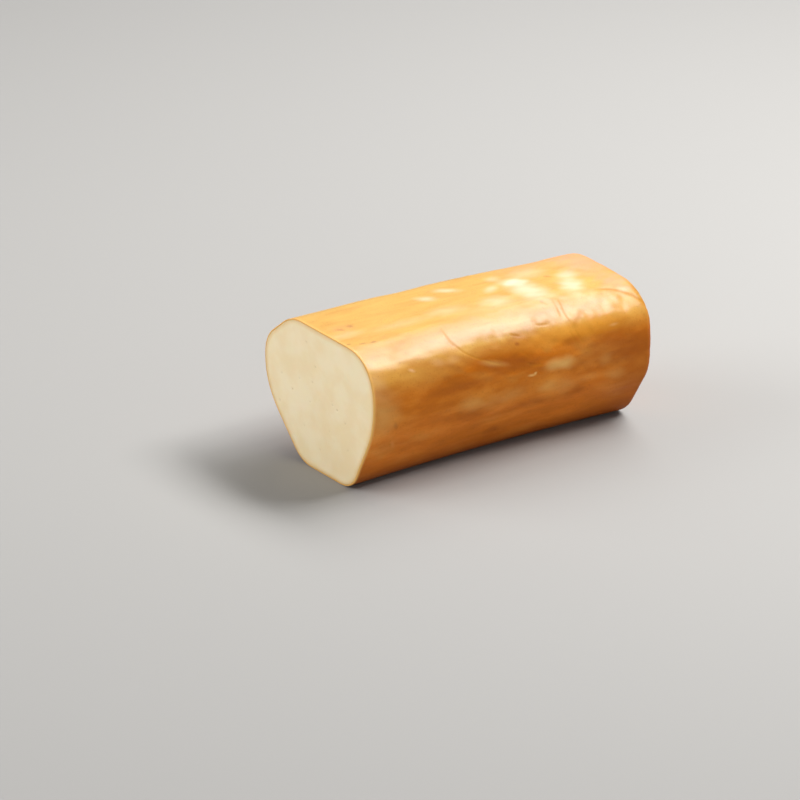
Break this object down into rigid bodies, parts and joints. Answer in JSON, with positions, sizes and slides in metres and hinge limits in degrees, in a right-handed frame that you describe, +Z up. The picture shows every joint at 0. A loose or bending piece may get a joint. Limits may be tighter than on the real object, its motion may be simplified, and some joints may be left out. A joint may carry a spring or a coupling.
{
  "type": "smoked scamorza loaf",
  "caption": "Cut loaf of smoked stretched-curd cheese: amber rind, pale flat-cut front face, closed far end and a narrow flat foot to lie on.",
  "frame": {"origin": "middle of the loaf's box in x and y, at the height of the foot it lies on", "axes": "+Y along the loaf from the cut face to the closed end, +Z up from the foot to the crown, +X to the side with the upright cheek and the long-radius shoulder"},
  "size_m": [0.102, 0.19, 0.082],
  "materials": {
    "smoked_rind": "thin, slightly greasy amber skin with darker streaks along the loaf and pale patches",
    "cheese_paste": "ivory, close-textured, faintly moist knife-cut cheese"
  },
  "bodies": {
    "root": {"scamorza_loaf": "smoked_rind"}
  },
  "joints": []
}
